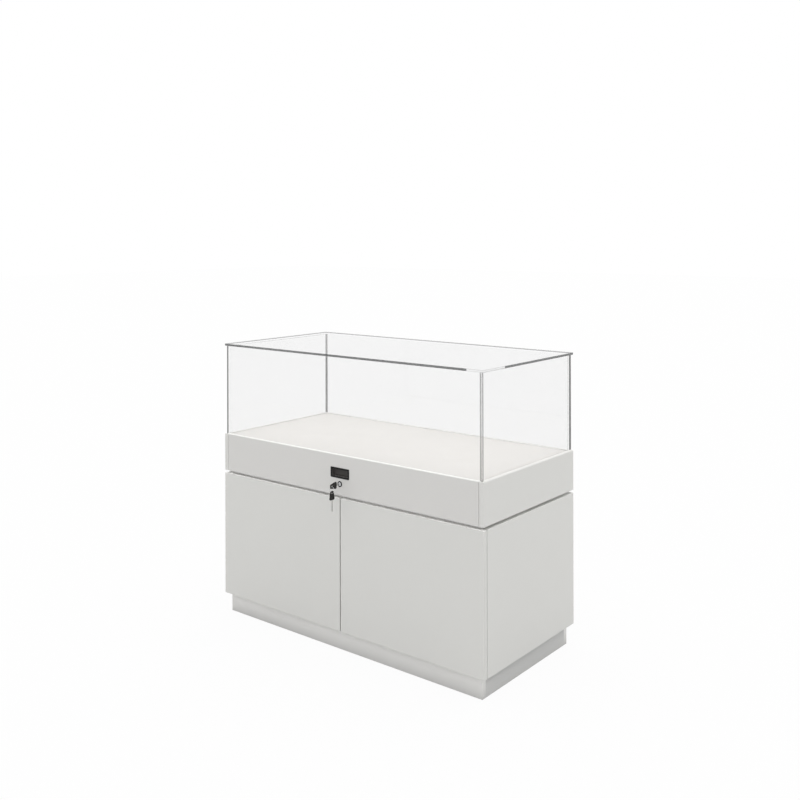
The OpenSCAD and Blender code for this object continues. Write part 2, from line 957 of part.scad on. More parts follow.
plinth_front();
plinth_back();
plinth_left();
plinth_right();
plinth_cross();
bottom_panel();
side_panel_left();
side_panel_right();
back_panel();
top_panel();
centre_partition();
shelf_left();
shelf_right();
shelf_pins();
reveal_board();
deck_base();
deck_side_left();
deck_side_right();
deck_back();
glass_left();
glass_right();
glass_back();
glass_top();
slide_outer_left();
slide_outer_right();
slide_middle_left();
slide_middle_right();
slide_inner_left();
slide_inner_right();
outer_ball_cages();
inner_ball_cages();
drawer_front();
display_floor();
drawer_side_left();
drawer_side_right();
drawer_back();
glass_front();
flush_pull();
lock_housing();
lock_nut();
lock_strike();
lock_plug();
lock_cam();
key_blade();
key_head();
key_ring();
spare_key_blade();
spare_key_head();
door_left();
door_right();
hinge_cups_left();
hinge_cups_right();
hinge_links_left();
hinge_links_right();
hinge_arms_left();
hinge_arms_right();
latch_bodies();
latch_plunger_left();
latch_plunger_right();
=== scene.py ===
import math

import bmesh
import bpy
from bpy.props import FloatProperty, FloatVectorProperty, IntProperty, PointerProperty
from bpy.types import Operator, Panel, PropertyGroup
from mathutils import Matrix, Vector


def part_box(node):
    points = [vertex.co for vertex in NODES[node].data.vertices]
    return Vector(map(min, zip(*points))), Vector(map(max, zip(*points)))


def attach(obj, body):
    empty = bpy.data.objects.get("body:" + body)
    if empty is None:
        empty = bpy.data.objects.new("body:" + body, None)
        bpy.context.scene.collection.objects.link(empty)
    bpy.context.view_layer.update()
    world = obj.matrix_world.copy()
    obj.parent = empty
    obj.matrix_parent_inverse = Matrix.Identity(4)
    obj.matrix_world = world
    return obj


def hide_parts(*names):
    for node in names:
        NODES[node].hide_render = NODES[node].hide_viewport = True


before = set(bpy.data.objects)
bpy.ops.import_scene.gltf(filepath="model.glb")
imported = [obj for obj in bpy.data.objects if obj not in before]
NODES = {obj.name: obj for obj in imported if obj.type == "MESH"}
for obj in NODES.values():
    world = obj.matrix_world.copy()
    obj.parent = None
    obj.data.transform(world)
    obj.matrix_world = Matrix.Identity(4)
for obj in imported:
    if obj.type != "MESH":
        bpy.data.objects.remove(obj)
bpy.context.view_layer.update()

bl_info = {
    "name": "Display cabinet looks",
    "version": (1, 0, 0),
    "blender": (4, 5, 0),
    "location": "3D View > Sidebar > Cabinet",
    "description": "Finishes, small fittings and studio for a glass-topped display cabinet",
    "category": "Object",
}

MM = 0.001
X_AXIS, Y_AXIS, Z_AXIS = Vector((1, 0, 0)), Vector((0, 1, 0)), Vector((0, 0, 1))
MIRRORED = Matrix.Scale(-1, 4, X_AXIS)
WHITE = (1.0, 1.0, 1.0, 1.0)

# What each finish covers; the panes are listed by the axis that runs through them
BOARDS = (
    "bottom_panel", "side_panel_left", "side_panel_right", "back_panel", "centre_partition",
    "shelf_left", "shelf_right", "drawer_side_left", "drawer_side_right", "drawer_back",
)
DECK_WALLS = ("deck_side_left", "deck_side_right", "deck_back")
DOORS = ("door_left", "door_right")
GAP_BOARDS = ("top_panel", "reveal_board")
PLINTH = ("plinth_front", "plinth_back", "plinth_cross")
PLINTH_ENDS = ("plinth_left", "plinth_right")
SLIDES = (
    "slide_outer_left", "slide_outer_right", "slide_middle_left", "slide_middle_right",
    "slide_inner_left", "slide_inner_right",
)
BALL_CAGES = ("outer_ball_cages", "inner_ball_cages")
HINGES = (
    "hinge_arms_left", "hinge_arms_right", "hinge_links_left", "hinge_links_right",
    "hinge_cups_left", "hinge_cups_right",
)
LOCK_STEEL = ("lock_nut", "lock_cam", "lock_strike")
KEY_BLADES = ("key_blade", "spare_key_blade")
KEY_HEADS = ("key_head", "spare_key_head")
LATCHES = ("latch_bodies", "latch_plunger_left", "latch_plunger_right")
PANES = {"X": ("glass_left", "glass_right"), "Y": ("glass_front", "glass_back"), "Z": ("glass_top",)}

# The middle of a noise's range, where nearly all of it lies
NOISE_RANGE = (0.3, 0.7)
# How much of a normal points along an axis: less on a chamfer, more on a face square to it
SQUARE_ON = (0.85, 0.95)
# Share of the light that glass reflects head on, and what it gains at a glancing angle
HEAD_ON, GLANCING = 0.04, 0.96
# Blurs of the steps in a finish, from finest to softest
HAIR, FINE, NARROW, SOFT, WIDE = 0.1 * MM, 0.2 * MM, 0.4 * MM, 1 * MM, 4 * MM
GRAIN_DEPTH = 0.03 * MM
RIPPLE_DEPTH = 0.05 * MM
BLADE_ROUNDING = 0.15 * MM
# Cosines of the angles from straight ahead and from straight up over which the room changes
BACKDROP_SPAN = (0.4, 0.75)
CEILING_SPAN = (0.5, 0.75)
# Soft lamps: name, place, point aimed at, width and height, and the setting that holds the power
SOFTBOXES = (
    ("front_softbox", (0.3, -4.5, 0.3), (0.0, 0.0, 0.4), (2.4, 0.4), "front_power"),
    ("side_softbox", (4.2, 1.0, 0.9), (0.0, 0.0, 0.6), (1.6, 1.6), "side_power"),
)


class Field:
    """One output socket, so that shader maths reads as Python."""

    def __init__(self, finish, socket):
        self.finish, self.socket = finish, socket

    def maths(self, operation, *values):
        sockets = dict(enumerate(values))
        return self.finish.node("ShaderNodeMath", {"operation": operation}, sockets)[0]

    def __add__(self, other):
        return self.maths("ADD", self, other)

    def __sub__(self, other):
        return self.maths("SUBTRACT", self, other)

    def __rsub__(self, other):
        return self.maths("SUBTRACT", other, self)

    def __mul__(self, other):
        return self.maths("MULTIPLY", self, other)

    def __pow__(self, other):
        return self.maths("POWER", self, other)

    def __abs__(self):
        return self.maths("ABSOLUTE", self)

    __radd__ = __add__
    __rmul__ = __mul__


def choose(mask, on, off):
    """One value where a mask is on and another where it is off."""
    return mask * on + (1 - mask) * off


def either(first, second):
    """Where at least one of two masks is on."""
    return 1 - (1 - first) * (1 - second)


class Finish:
    """A node material or world while it is being built."""

    def __init__(self, owner):
        self.owner = owner
        owner.use_nodes = True
        self.tree = owner.node_tree
        self.tree.nodes.clear()

    def node(self, kind, settings=None, values=None):
        """Adds a node, sets its settings and then its sockets, and gives its outputs as fields."""
        node = self.tree.nodes.new(kind)
        for name, setting in (settings or {}).items():
            setattr(node, name, setting)
        for key, value in (values or {}).items():
            if isinstance(value, Field):
                self.tree.links.new(value.socket, node.inputs[key])
            else:
                node.inputs[key].default_value = value
        return {
            **{o.name: Field(self, o) for o in node.outputs if o.enabled},
            **{i: Field(self, o) for i, o in enumerate(node.outputs)},
        }

    def place(self):
        """Position on the piece as it stands at rest, in metres."""
        return self.node("ShaderNodeTexCoord")["Object"]

    def axes(self, vector):
        """The X, Y and Z of a vector."""
        return self.node("ShaderNodeSeparateXYZ", values={0: vector})

    def outward(self):
        """The X, Y and Z of the surface's normal as it stands at rest."""
        return self.axes(self.node("ShaderNodeTexCoord")["Normal"])

    def noise(self, lumps, detail=2.0, stretch=(1.0, 1.0, 1.0)):
        """Noise from 0 to 1 with this many lumps a metre."""
        mapping = {"Vector": self.place(), "Scale": stretch}
        stretched = self.node("ShaderNodeMapping", values=mapping)["Vector"]
        texture = {"Vector": stretched, "Scale": lumps, "Detail": detail}
        return self.node("ShaderNodeTexNoise", values=texture)[0]

    def span(self, value, low, high, to_low, to_high):
        """Value taken from one range to another and held there."""
        ends = {"Value": value, "From Min": low, "From Max": high, "To Min": to_low, "To Max": to_high}
        return self.node("ShaderNodeMapRange", values=ends)[0]

    def spread(self, noise, low, high):
        """Noise taken to the range from low to high."""
        return self.span(noise, *NOISE_RANGE, low, high)

    def step(self, value, start, blur, before=0.0, after=1.0):
        """A soft step between two values, from its start over its blur."""
        return self.span(value, start, start + blur, before, after)

    def mix_colours(self, factor, first, second):
        return self.node("ShaderNodeMix", {"data_type": "RGBA"}, {0: factor, 6: first, 7: second})[2]

    def mix_shaders(self, factor, first, second):
        return self.node("ShaderNodeMixShader", values={0: factor, 1: first, 2: second})[0]

    def bump(self, height, depth):
        """A normal for surface relief this many metres deep."""
        return self.node("ShaderNodeBump", values={"Height": height, "Distance": depth, "Strength": 1.0})[0]

    def surface(self, **sockets):
        """A Principled shader; the sockets' names have underscores for spaces."""
        values = {name.replace("_", " "): value for name, value in sockets.items()}
        return self.node("ShaderNodeBsdfPrincipled", values=values)[0]

    def transparent(self, colour):
        return self.node("ShaderNodeBsdfTransparent", values={"Color": colour})[0]

    def finished(self, shader):
        self.node("ShaderNodeOutputMaterial", values={"Surface": shader})
        return self.owner


def new_finish(name):
    return Finish(bpy.data.materials.new(name))


def opaque(colour, strength=1.0):
    """A colour with alpha from three numbers, made darker or lighter by its strength."""
    return (*(c * strength for c in colour), 1.0)


def lacquer(name, colour, settings, foot_shade_height=0.0, top_colour=None):
    """Sprayed satin lacquer on board: faint orange peel, a cloudy sheen and a slight drift of tone.

    Up to a height the board can be painted darker towards the floor as painted shade, and its upward faces can
    take a colour of their own as painted light.
    """
    finish = new_finish(name)
    clouds = finish.noise(lumps=2.5, detail=3.0)
    speckle = finish.noise(lumps=90.0)
    drift = finish.spread(clouds * 0.75 + speckle * 0.25, 0.0, 1.0)
    shade = finish.mix_colours(drift, opaque(colour, 1.0 - settings.tone_drift), opaque(colour))
    # Painted shade: the colour darkens towards the floor, up to the given height.
    if foot_shade_height:
        above_foot_shade = finish.step(finish.axes(finish.place())["Z"], 0.0, foot_shade_height)
        shade = finish.mix_colours(above_foot_shade, opaque(colour, settings.foot_shade_tone), shade)
    # Upward faces can take their own colour as painted light: lighter tops on the deck walls and doors, and a
    # plain top on the deck base, whose other faces are painted lighter.
    if top_colour:
        upward = finish.span(finish.outward()["Z"], *SQUARE_ON, 0.0, 1.0)
        shade = finish.mix_colours(upward, shade, opaque(top_colour))
    sheen = finish.noise(lumps=14.0, detail=3.0)
    rough = finish.spread(sheen, -settings.sheen_drift, settings.sheen_drift) + settings.sheen_roughness
    peel = finish.noise(lumps=1.0 / settings.peel_size, detail=1.0)
    normal = finish.bump(peel, settings.peel_depth)
    return finish.finished(finish.surface(Base_Color=shade, Roughness=rough, Normal=normal))


def brushed_steel(name, colour, along, settings):
    """Zinc-plated sheet steel with fine drawing lines along one axis."""
    finish = new_finish(name)

    def drawn_noise(lumps, detail, share):
        """Noise drawn out along the axis, which keeps this share of its lumps."""
        return finish.noise(lumps, detail, tuple(share if axis == along else 1.0 for axis in "XYZ"))

    lines = drawn_noise(lumps=1400.0, detail=2.0, share=0.04)
    bloom = drawn_noise(lumps=90.0, detail=3.0, share=0.12)
    bright = finish.span(bloom, 0.35, 0.65, 0.0, 1.0)
    shade = finish.mix_colours(bright, opaque(colour, 0.92), opaque(colour))
    rough = finish.spread(lines, 0.26, 0.4)
    normal = finish.bump(lines, settings.brush_depth)
    return finish.finished(finish.surface(Base_Color=shade, Metallic=1.0, Roughness=rough, Normal=normal))


def polished_chrome(name, colour):
    """Bright plating with a faint haze of handling marks."""
    finish = new_finish(name)
    haze = finish.noise(lumps=220.0, detail=3.0)
    shade = finish.mix_colours(haze, opaque(colour, 0.94), opaque(colour))
    rough = finish.span(haze, 0.35, 0.7, 0.05, 0.16)
    return finish.finished(finish.surface(Base_Color=shade, Metallic=1.0, Roughness=rough))


def moulded_plastic(name, colour, roughness, gloss):
    """Moulded plastic with a fine spark-eroded grain."""
    finish = new_finish(name)
    grain = finish.noise(lumps=2600.0, detail=1.0)
    patches = finish.noise(lumps=70.0)
    shade = finish.mix_colours(patches, opaque(colour, 0.85), opaque(colour, 1.15))
    rough = finish.spread(grain, roughness - 0.05, roughness + 0.08)
    normal = finish.bump(grain, GRAIN_DEPTH)
    look = finish.surface(Base_Color=shade, Roughness=rough, Normal=normal, Specular_IOR_Level=gloss)
    return finish.finished(look)


def pull_with_painted_light(name, settings):
    """Moulded pull: a glossy black lip round a grained charcoal recess whose floor and walls are painted
    lighter, as painted light against the shade in the recess.
    """
    finish = new_finish(name)
    low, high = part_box("flush_pull")
    lip, lip_depth = 5.6 * MM, 2.2 * MM
    middle_z, half_z = (low.z + high.z) / 2, (high.z - low.z) / 2
    place = finish.axes(finish.place())
    lip_ends = finish.step(abs(place["X"]), high.x - lip - FINE, FINE)
    lip_rails = finish.step(abs(place["Z"] - middle_z), half_z - lip - FINE, FINE)
    rim = either(lip_ends, lip_rails)
    inside = finish.step(place["Y"], low.y + lip_depth, NARROW)
    # Painted light: the recess walls get a lighter colour to offset their shade.
    lit_wall = finish.span(abs(finish.outward()["Y"]), 0.4, 0.6, 1.0, 0.0) * inside
    grain = finish.noise(lumps=2600.0, detail=1.0)
    front = finish.mix_colours(rim, opaque(settings.lit_recess_colour), opaque(settings.lip_colour))
    shade = finish.mix_colours(lit_wall, front, opaque(settings.lit_wall_colour))
    rough = finish.spread(grain, 0.4, 0.5) - rim * 0.15
    normal = finish.bump(grain, GRAIN_DEPTH)
    look = finish.surface(Base_Color=shade, Roughness=rough, Normal=normal, Specular_IOR_Level=0.2)
    return finish.finished(look)


def side_pane_painted_shade(finish, place):
    """Side panes: painted shade on each upright edge, with its own depth of tone, and two joints painted as
    dark lines on the outer faces.

    The right pane's front edge is a pair of fine lines, and its outer face shows the front joint.
    The left pane's outer face shows the back joint.
    """
    low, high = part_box("glass_right")
    middle = (low.x + high.x) / 2
    back = finish.span(place["Y"], -0.1, 0.1, 0.0, 1.0)
    right = finish.span(place["X"], -0.1, 0.1, 0.0, 1.0)
    inner_line = finish.step(place["X"], low.x + 2.2 * MM, NARROW, 0.6, 0.2)
    outer_line = finish.step(place["X"], high.x - 1.2 * MM, NARROW, 0.0, 0.55)
    left_edges = choose(back, 1.0, 0.85)
    right_edges = choose(back, 0.88, inner_line + outer_line)
    front_joint = finish.step(place["Y"], low.y + 3.0 * MM, NARROW, 0.85, 0.0)
    back_joint = finish.step(place["Y"], high.y - 6.0 * MM, NARROW, 0.0, 0.5)
    right_outside = finish.step(place["X"], middle, SOFT)
    left_outside = finish.step(place["X"], -middle - SOFT, SOFT, 1.0, 0.0)
    return choose(right, right_edges, left_edges), right_outside * front_joint + left_outside * back_joint


def top_pane_painted_shade(finish, place):
    """Top pane: painted shade on the front and right edges, thin painted lines at the back and left, and much
    less painted shade at the near corner, so that it looks bright.

    Its mirror image in the other panes stays clear, so that no edge shows twice.
    """
    low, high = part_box("glass_top")
    line_depth, rim = 4.2 * MM, 0.8 * MM
    corner_x, corner_y = 66 * MM, 121 * MM
    middle, half = (low.z + high.z) / 2, (high.z - low.z) / 2
    back = finish.step(place["Y"], high.y - 2 * SOFT, SOFT)
    left = finish.step(place["X"], low.x + SOFT, SOFT, 1.0, 0.0)
    far_line = finish.step(place["Z"], high.z - line_depth - HAIR, HAIR, 0.0, 0.62)
    corner = (
        finish.step(place["X"], high.x - corner_x, WIDE)
        * finish.step(place["Y"], low.y + corner_y, WIDE, 1.0, 0.0)
    )
    corner_line = finish.step(abs(place["Z"] - middle), half - rim - HAIR, HAIR, 0.08, 0.5)
    near = choose(corner, corner_line, 0.88)
    direct = 1 - finish.node("ShaderNodeLightPath")["Is Glossy Ray"]
    return choose(either(back, left), far_line, near) * direct, None


def cross_pane_painted_shade(finish, place):
    """Front and back panes: clear, but for a fine painted dark line where the front one meets the right pane.
    """
    low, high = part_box("glass_front")
    middle = (low.y + high.y) / 2
    outside = finish.step(place["Y"], middle - SOFT, SOFT, 1.0, 0.0)
    joint = outside * finish.step(place["X"], high.x - 2.2 * MM, NARROW, 0.0, 0.5)
    return joint, joint


def clear_pane(name, across, painted_shade_of, settings):
    """Float glass: clear through its two faces, with painted dark reflection and shade, a dark glossy surface,
    where the masks put it.

    The function painted_shade_of gives the painted shade of the edges and of the faces, or None for faces with
    none.
    """
    finish = new_finish(name)
    parts = finish.outward()
    edge = finish.span(abs(parts[across]), *SQUARE_ON, 1.0, 0.0)
    edge_painted_shade, face_painted_shade = painted_shade_of(finish, finish.axes(finish.place()))
    if across != "Z":
        upright = finish.span(abs(parts["Z"]), 0.6, 0.8, 1.0, 0.0)
        edge_painted_shade = upright * edge_painted_shade
    slant = finish.node("ShaderNodeLayerWeight", values={"Blend": 0.5})["Facing"]
    mirrored = slant ** 5.0 * (settings.top_gleam if across == "Z" else GLANCING) + HEAD_ON
    smears = finish.span(finish.noise(lumps=6.0, detail=4.0), 0.4, 0.75, 0.0, settings.smear_roughness)
    see_through = finish.transparent(opaque(settings.glass_tint))
    mirror = finish.node("ShaderNodeBsdfGlossy", values={"Color": WHITE, "Roughness": smears})[0]
    face = finish.mix_shaders(mirrored, see_through, mirror)
    # Painted reflection and shade on the edges and joints: a dark glossy surface whose tone wanders.
    streaks = finish.noise(lumps=160.0)
    depths = finish.mix_colours(streaks, opaque(settings.edge_shade_colour, 0.8), opaque(settings.edge_shade_colour, 1.2))
    painted_edge_shade = finish.surface(Base_Color=depths, Roughness=0.12, IOR=1.5)
    edge_look = finish.mix_shaders(edge_painted_shade, see_through, painted_edge_shade)
    face_look = finish.mix_shaders(face_painted_shade, face, painted_edge_shade) if face_painted_shade else face
    return finish.finished(finish.mix_shaders(edge, face_look, edge_look))


def silicone(name, colour, clearness):
    """A smoothed line of silicone."""
    finish = new_finish(name)
    ripple = finish.noise(lumps=300.0)
    shade = finish.mix_colours(ripple, opaque(colour, 0.96), opaque(colour))
    body = finish.surface(Base_Color=shade, Roughness=0.3, Normal=finish.bump(ripple, RIPPLE_DEPTH))
    return finish.finished(finish.mix_shaders(clearness, body, finish.transparent(WHITE)))


def coat(names, material):
    """Gives CAD nodes their finish."""
    for name in names:
        mesh = NODES[name].data
        mesh.materials.clear()
        mesh.materials.append(material)


def soften(names, width):
    """Rounds the sharp edges of small CAD nodes without changing their size."""
    for name in names:
        bevel = NODES[name].modifiers.new("softened edges", "BEVEL")
        bevel.width = width
        bevel.segments = 2
        bevel.limit_method = "ANGLE"
        bevel.angle_limit = math.radians(40)


def new_piece(name, mesh_maker, material, body, smooth_angle=35.0):
    """Makes one mesh piece from a bmesh maker and hangs it on its body."""
    mesh = bpy.data.meshes.new(name)
    shape = bmesh.new()
    mesh_maker(shape)
    bmesh.ops.recalc_face_normals(shape, faces=shape.faces)
    for face in shape.faces:
        face.smooth = True
    for edge in shape.edges:
        edge.smooth = edge.calc_face_angle(0.0) < math.radians(smooth_angle)
    shape.to_mesh(mesh)
    shape.free()
    piece = bpy.data.objects.new(name, mesh)
    bpy.context.scene.collection.objects.link(piece)
    mesh.materials.append(material)
    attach(piece, body)
    return piece


def round_angles(sides, start=0.0):
    """The angles of evenly spaced points round a circle."""
    return [math.tau * (i + start) / sides for i in range(sides)]


def join_loops(shape, low, high):
    """Fills the space between two loops of points; the low one may be a single point."""
    for i in range(len(high)):
        j = (i + 1) % len(high)
        corners = [low[i % len(low)], low[j % len(low)], high[j], high[i]]
        shape.faces.new(list(dict.fromkeys(corners)))


def turned(shape, profile, sides, place):
    """Turns a closed profile of (radius, height) points round Z into a ring and puts it in place."""
    loops = [
        [
            shape.verts.new(place @ Vector((radius * math.cos(t), radius * math.sin(t), height)))
            for t in round_angles(sides)
        ]
        for radius, height in profile
    ]
    for low, high in zip(loops, loops[1:] + loops[:1]):
        join_loops(shape, low, high)


def facing(point, direction):
    """A placing matrix whose Z runs along a direction."""
    turn = Vector(direction).to_track_quat("Z", "Y").to_matrix().to_4x4()
    return Matrix.Translation(point) @ turn


def screw_head(shape, point, direction, radius, height):
    """A low domed screw head with a cross recess."""
    rings, sides = 7, 32
    arm, reach, sink, dome_radius = radius * 0.17, radius * 0.62, height * 0.85, radius * 1.04
    place = facing(point, direction)
    angles = round_angles(sides, 0.5)
    loops = [[shape.verts.new(place @ Vector((0, 0, height - sink)))]]
    for ring in range(1, rings + 1):
        r = radius * ring / rings
        dome = height * math.sqrt(1.0 - (r / dome_radius) ** 2)
        loop = []
        for t in angles:
            x, y = r * math.cos(t), r * math.sin(t)
            inside = r < reach and min(abs(x), abs(y)) < arm
            loop.append(shape.verts.new(place @ Vector((x, y, dome - sink if inside else dome))))
        loops.append(loop)
    loops.append([
        shape.verts.new(place @ Vector((radius * math.cos(t), radius * math.sin(t), 0.0))) for t in angles
    ])
    for low, high in zip(loops, loops[1:]):
        join_loops(shape, low, high)
    shape.faces.new(list(reversed(loops[-1])))


def screws(name, places, radius, height, material, body):
    """One piece with a screw head at each place, given as a point and a direction."""
    def heads(shape):
        for point, direction in places:
            screw_head(shape, point, direction, radius, height)

    return new_piece(name, heads, material, body)


def bead(shape, start, end, first, second, size):
    """A slightly rounded fillet along the corner from start to end, reaching along two directions."""
    steps, crown = 4, 0.4
    section = [Vector()]
    for i in range(steps + 1):
        t = i / steps
        bulge = 1 + crown * math.sin(math.pi * t)
        section.append((Vector(first) * (1 - t) + Vector(second) * t) * size * bulge)
    rows = [[shape.verts.new(Vector(p) + q) for q in section] for p in (start, end)]
    join_loops(shape, *rows)
    for row in rows:
        shape.faces.new(row)


def tube(shape, centres, radius, sides):
    """A round wire along points, with closed ends."""
    loops = []
    for i, centre in enumerate(centres):
        ahead = centres[min(i + 1, len(centres) - 1)] - centres[max(i - 1, 0)]
        side = ahead.cross(X_AXIS).normalized()
        other = ahead.cross(side).normalized()
        loops.append([
            shape.verts.new(centre + (side * math.cos(t) + other * math.sin(t)) * radius)
            for t in round_angles(sides)
        ])
    for low, high in zip(loops, loops[1:]):
        join_loops(shape, low, high)
    for loop in (loops[0], loops[-1]):
        shape.faces.new(loop)


def twins(places):
    """The right-hand twins of places on the left."""
    return [(MIRRORED @ point, MIRRORED.to_3x3() @ direction) for point, direction in places]


class CabinetFinishes(PropertyGroup):
    """Colours and surface sizes"""

    lacquer_colour: FloatVectorProperty(
        name="Lacquer", description="Colour of the boards", subtype="COLOR",
        default=(0.62, 0.6185, 0.5975))
    # Painted light: the deck walls' top faces are painted lighter to offset the shade from the glass and its
    # beads.
    lit_deck_rim_colour: FloatVectorProperty(
        name="Deck rim", description="Colour of the deck's top edges", subtype="COLOR",
        default=(0.7, 0.695, 0.675))
    floor_colour: FloatVectorProperty(
        name="Display floor", description="Colour of the display floor", subtype="COLOR",
        default=(0.59, 0.574, 0.551))
    # Painted light and shade: the plinth's long boards are painted lighter to offset the shade under the body,
    # and its end boards darker as painted shade.
    lit_plinth_colour: FloatVectorProperty(
        name="Plinth", description="Colour of the plinth's long boards", subtype="COLOR",
        default=(0.83, 0.825, 0.805))
    shaded_plinth_end_colour: FloatVectorProperty(
        name="Plinth ends", description="Colour of the plinth's end boards", subtype="COLOR",
        default=(0.54, 0.54, 0.53))
    # Painted shade on the plinth: how high and how dark it is painted darker towards the floor.
    plinth_foot_shade_height: FloatProperty(
        name="Scuffed height", description="Height to which the plinth is dulled by the floor",
        default=60 * MM, unit="LENGTH")
    foot_shade_tone: FloatProperty(
        name="Scuffed tone", description="How dark the plinth gets at the floor", default=0.63, min=0, max=1)
    front_colour: FloatVectorProperty(
        name="Drawer front", description="Colour of the drawer front", subtype="COLOR",
        default=(0.602, 0.595, 0.579))
    # Painted light: the boards, door tops and deck base edges round the shadow gap are painted lighter to
    # offset the shade in the gap.
    lit_gap_colour: FloatVectorProperty(
        name="Shadow gap", description="Colour of the boards round the shadow gap", subtype="COLOR",
        default=(0.93, 0.925, 0.91))
    tone_drift: FloatProperty(
        name="Tone drift", description="How much darker the lacquer gets in places",
        default=0.015, min=0, max=0.2)
    sheen_roughness: FloatProperty(
        name="Sheen", description="Roughness of the lacquer", default=0.4, min=0, max=1)
    sheen_drift: FloatProperty(
        name="Sheen drift", description="How far the lacquer's roughness wanders", default=0.04, min=0, max=0.2)
    peel_size: FloatProperty(
        name="Peel size", description="Size of the lacquer's orange peel", default=1.6 * MM, unit="LENGTH")
    peel_depth: FloatProperty(
        name="Peel depth", description="Depth of the lacquer's orange peel", default=0.02 * MM, unit="LENGTH")
    glass_tint: FloatVectorProperty(
        name="Glass", description="Light that one face of a pane lets through", subtype="COLOR",
        default=(0.981, 0.981, 0.981))
    top_gleam: FloatProperty(
        name="Top gleam", description="How strongly the top pane reflects at a low angle",
        default=0.2, min=0, max=GLANCING)
    # Painted shade: the dark colour painted on the panes' edges and joints in place of their reflections.
    edge_shade_colour: FloatVectorProperty(
        name="Glass edge", description="Colour of a polished edge", subtype="COLOR",
        default=(0.09, 0.092, 0.092))
    smear_roughness: FloatProperty(
        name="Smears", description="Greatest roughness of the glass where it was wiped",
        default=0.03, min=0, max=1)
    steel_colour: FloatVectorProperty(
        name="Steel", description="Colour of the zinc-plated steel", subtype="COLOR",
        default=(0.62, 0.63, 0.65))
    brush_depth: FloatProperty(
        name="Brush depth", description="Depth of the steel's drawing lines", default=0.01 * MM, unit="LENGTH")
    chrome_colour: FloatVectorProperty(
        name="Chrome", description="Colour of the chrome plating", subtype="COLOR",
        default=(0.82, 0.83, 0.85))
    # Painted reflection: the lock's collar and rim are dark chrome standing in for the dark reflection seen on
    # a chrome collar.
    dark_reflection_chrome_colour: FloatVectorProperty(
        name="Black chrome", description="Colour of the lock's collar", subtype="COLOR",
        default=(0.03, 0.03, 0.032))
    nickel_colour: FloatVectorProperty(
        name="Nickel", description="Colour of the key blades", subtype="COLOR",
        default=(0.7, 0.7, 0.69))
    black_colour: FloatVectorProperty(
        name="Black plastic", description="Colour of the key heads", subtype="COLOR",
        default=(0.02, 0.019, 0.018))
    # Painted light: the pull's recess and its walls are painted lighter to offset the shade in the recess.
    lit_recess_colour: FloatVectorProperty(
        name="Pull recess", description="Colour of the pull's recess", subtype="COLOR",
        default=(0.058, 0.054, 0.051))
    lit_wall_colour: FloatVectorProperty(
        name="Pull walls", description="Colour of the walls of the pull's recess", subtype="COLOR",
        default=(0.13, 0.122, 0.117))
    lip_colour: FloatVectorProperty(
        name="Pull lip", description="Colour of the pull's lip", subtype="COLOR",
        default=(0.008, 0.008, 0.008))
    grey_colour: FloatVectorProperty(
        name="Grey plastic", description="Colour of the push latches", subtype="COLOR",
        default=(0.35, 0.35, 0.36))
    seal_colour: FloatVectorProperty(
        name="Seal", description="Colour of the clear and the white silicone", subtype="COLOR",
        default=(0.82, 0.82, 0.8))
    matched_seal_colour: FloatVectorProperty(
        name="Matched seal", description="Colour of the silicone round the fixed panes", subtype="COLOR",
        default=(0.72, 0.71, 0.69))


class CabinetFittings(PropertyGroup):
    """Sizes of the small fittings"""

    plate_screw: FloatProperty(
        name="Plate screws", description="Head diameter of the hinge plate screws",
        default=8 * MM, unit="LENGTH")
    cup_screw: FloatProperty(
        name="Cup screws", description="Head diameter of the hinge cup screws",
        default=6.6 * MM, unit="LENGTH")
    slide_screw: FloatProperty(
        name="Slide screws", description="Head diameter of the slide screws",
        default=4.5 * MM, unit="LENGTH")
    screw_height: FloatProperty(
        name="Screw height", description="Height of a low screw head",
        default=1.6 * MM, unit="LENGTH")
    seal_size: FloatProperty(
        name="Seal size", description="Width of the clear beads in the corners",
        default=1.2 * MM, unit="LENGTH")
    foot_size: FloatProperty(
        name="Front seal size", description="Width of the bead along the foot of the front pane",
        default=2.7 * MM, unit="LENGTH")
    hood_foot_size: FloatProperty(
        name="Hood seal size", description="Width of the beads along the foot of the fixed panes",
        default=3.6 * MM, unit="LENGTH")
    bezel_height: FloatProperty(
        name="Bezel height", description="Height of the lock's rounded rim",
        default=0.9 * MM, unit="LENGTH")
    ring_turns: IntProperty(
        name="Ring turns", description="Turns of wire in the split ring", default=2, min=1, max=3)


class CabinetStudio(PropertyGroup):
    """Camera, floor and light"""

    camera_place: FloatVectorProperty(
        name="Camera", description="Where the camera stands", subtype="XYZ", unit="LENGTH",
        default=(2.2653, -2.7762, 1.4535))
    camera_turn: FloatProperty(
        name="Camera turn", description="Compass turn of the camera from the cabinet's depth",
        subtype="ANGLE", default=math.radians(38.858))
    camera_roll: FloatProperty(
        name="Camera roll", description="Tilt of the camera to its left",
        subtype="ANGLE", default=math.radians(0.128))
    camera_lens: FloatProperty(
        name="Lens", description="Focal length in millimetres on a 36 mm frame", default=43.403)
    shift_x: FloatProperty(name="Shift X", description="Sideways shift of the lens", default=0.00345)
    shift_y: FloatProperty(name="Shift Y", description="Upward shift of the lens", default=-0.20673)
    floor_size: FloatProperty(
        name="Floor", description="Side of the pale floor", default=60.0, unit="LENGTH")
    floor_glow: FloatProperty(
        name="Floor glow", description="Share of plain white in the floor as the camera sees it",
        default=0.95, min=0, max=1)
    front_power: FloatProperty(
        name="Front light", description="Power of the soft light on the door side",
        default=8.0, unit="POWER")
    side_power: FloatProperty(
        name="Side light", description="Power of the soft light on the right",
        default=7.0, unit="POWER")
    ceiling: FloatProperty(
        name="Ceiling", description="Brightness of the wide soft light above", default=2.29, min=0)
    room_near: FloatProperty(
        name="Room", description="Brightness of the room round the cabinet", default=0.66, min=0)
    room_far: FloatProperty(
        name="Backdrop", description="Brightness of the backdrop behind the cabinet", default=0.93, min=0)


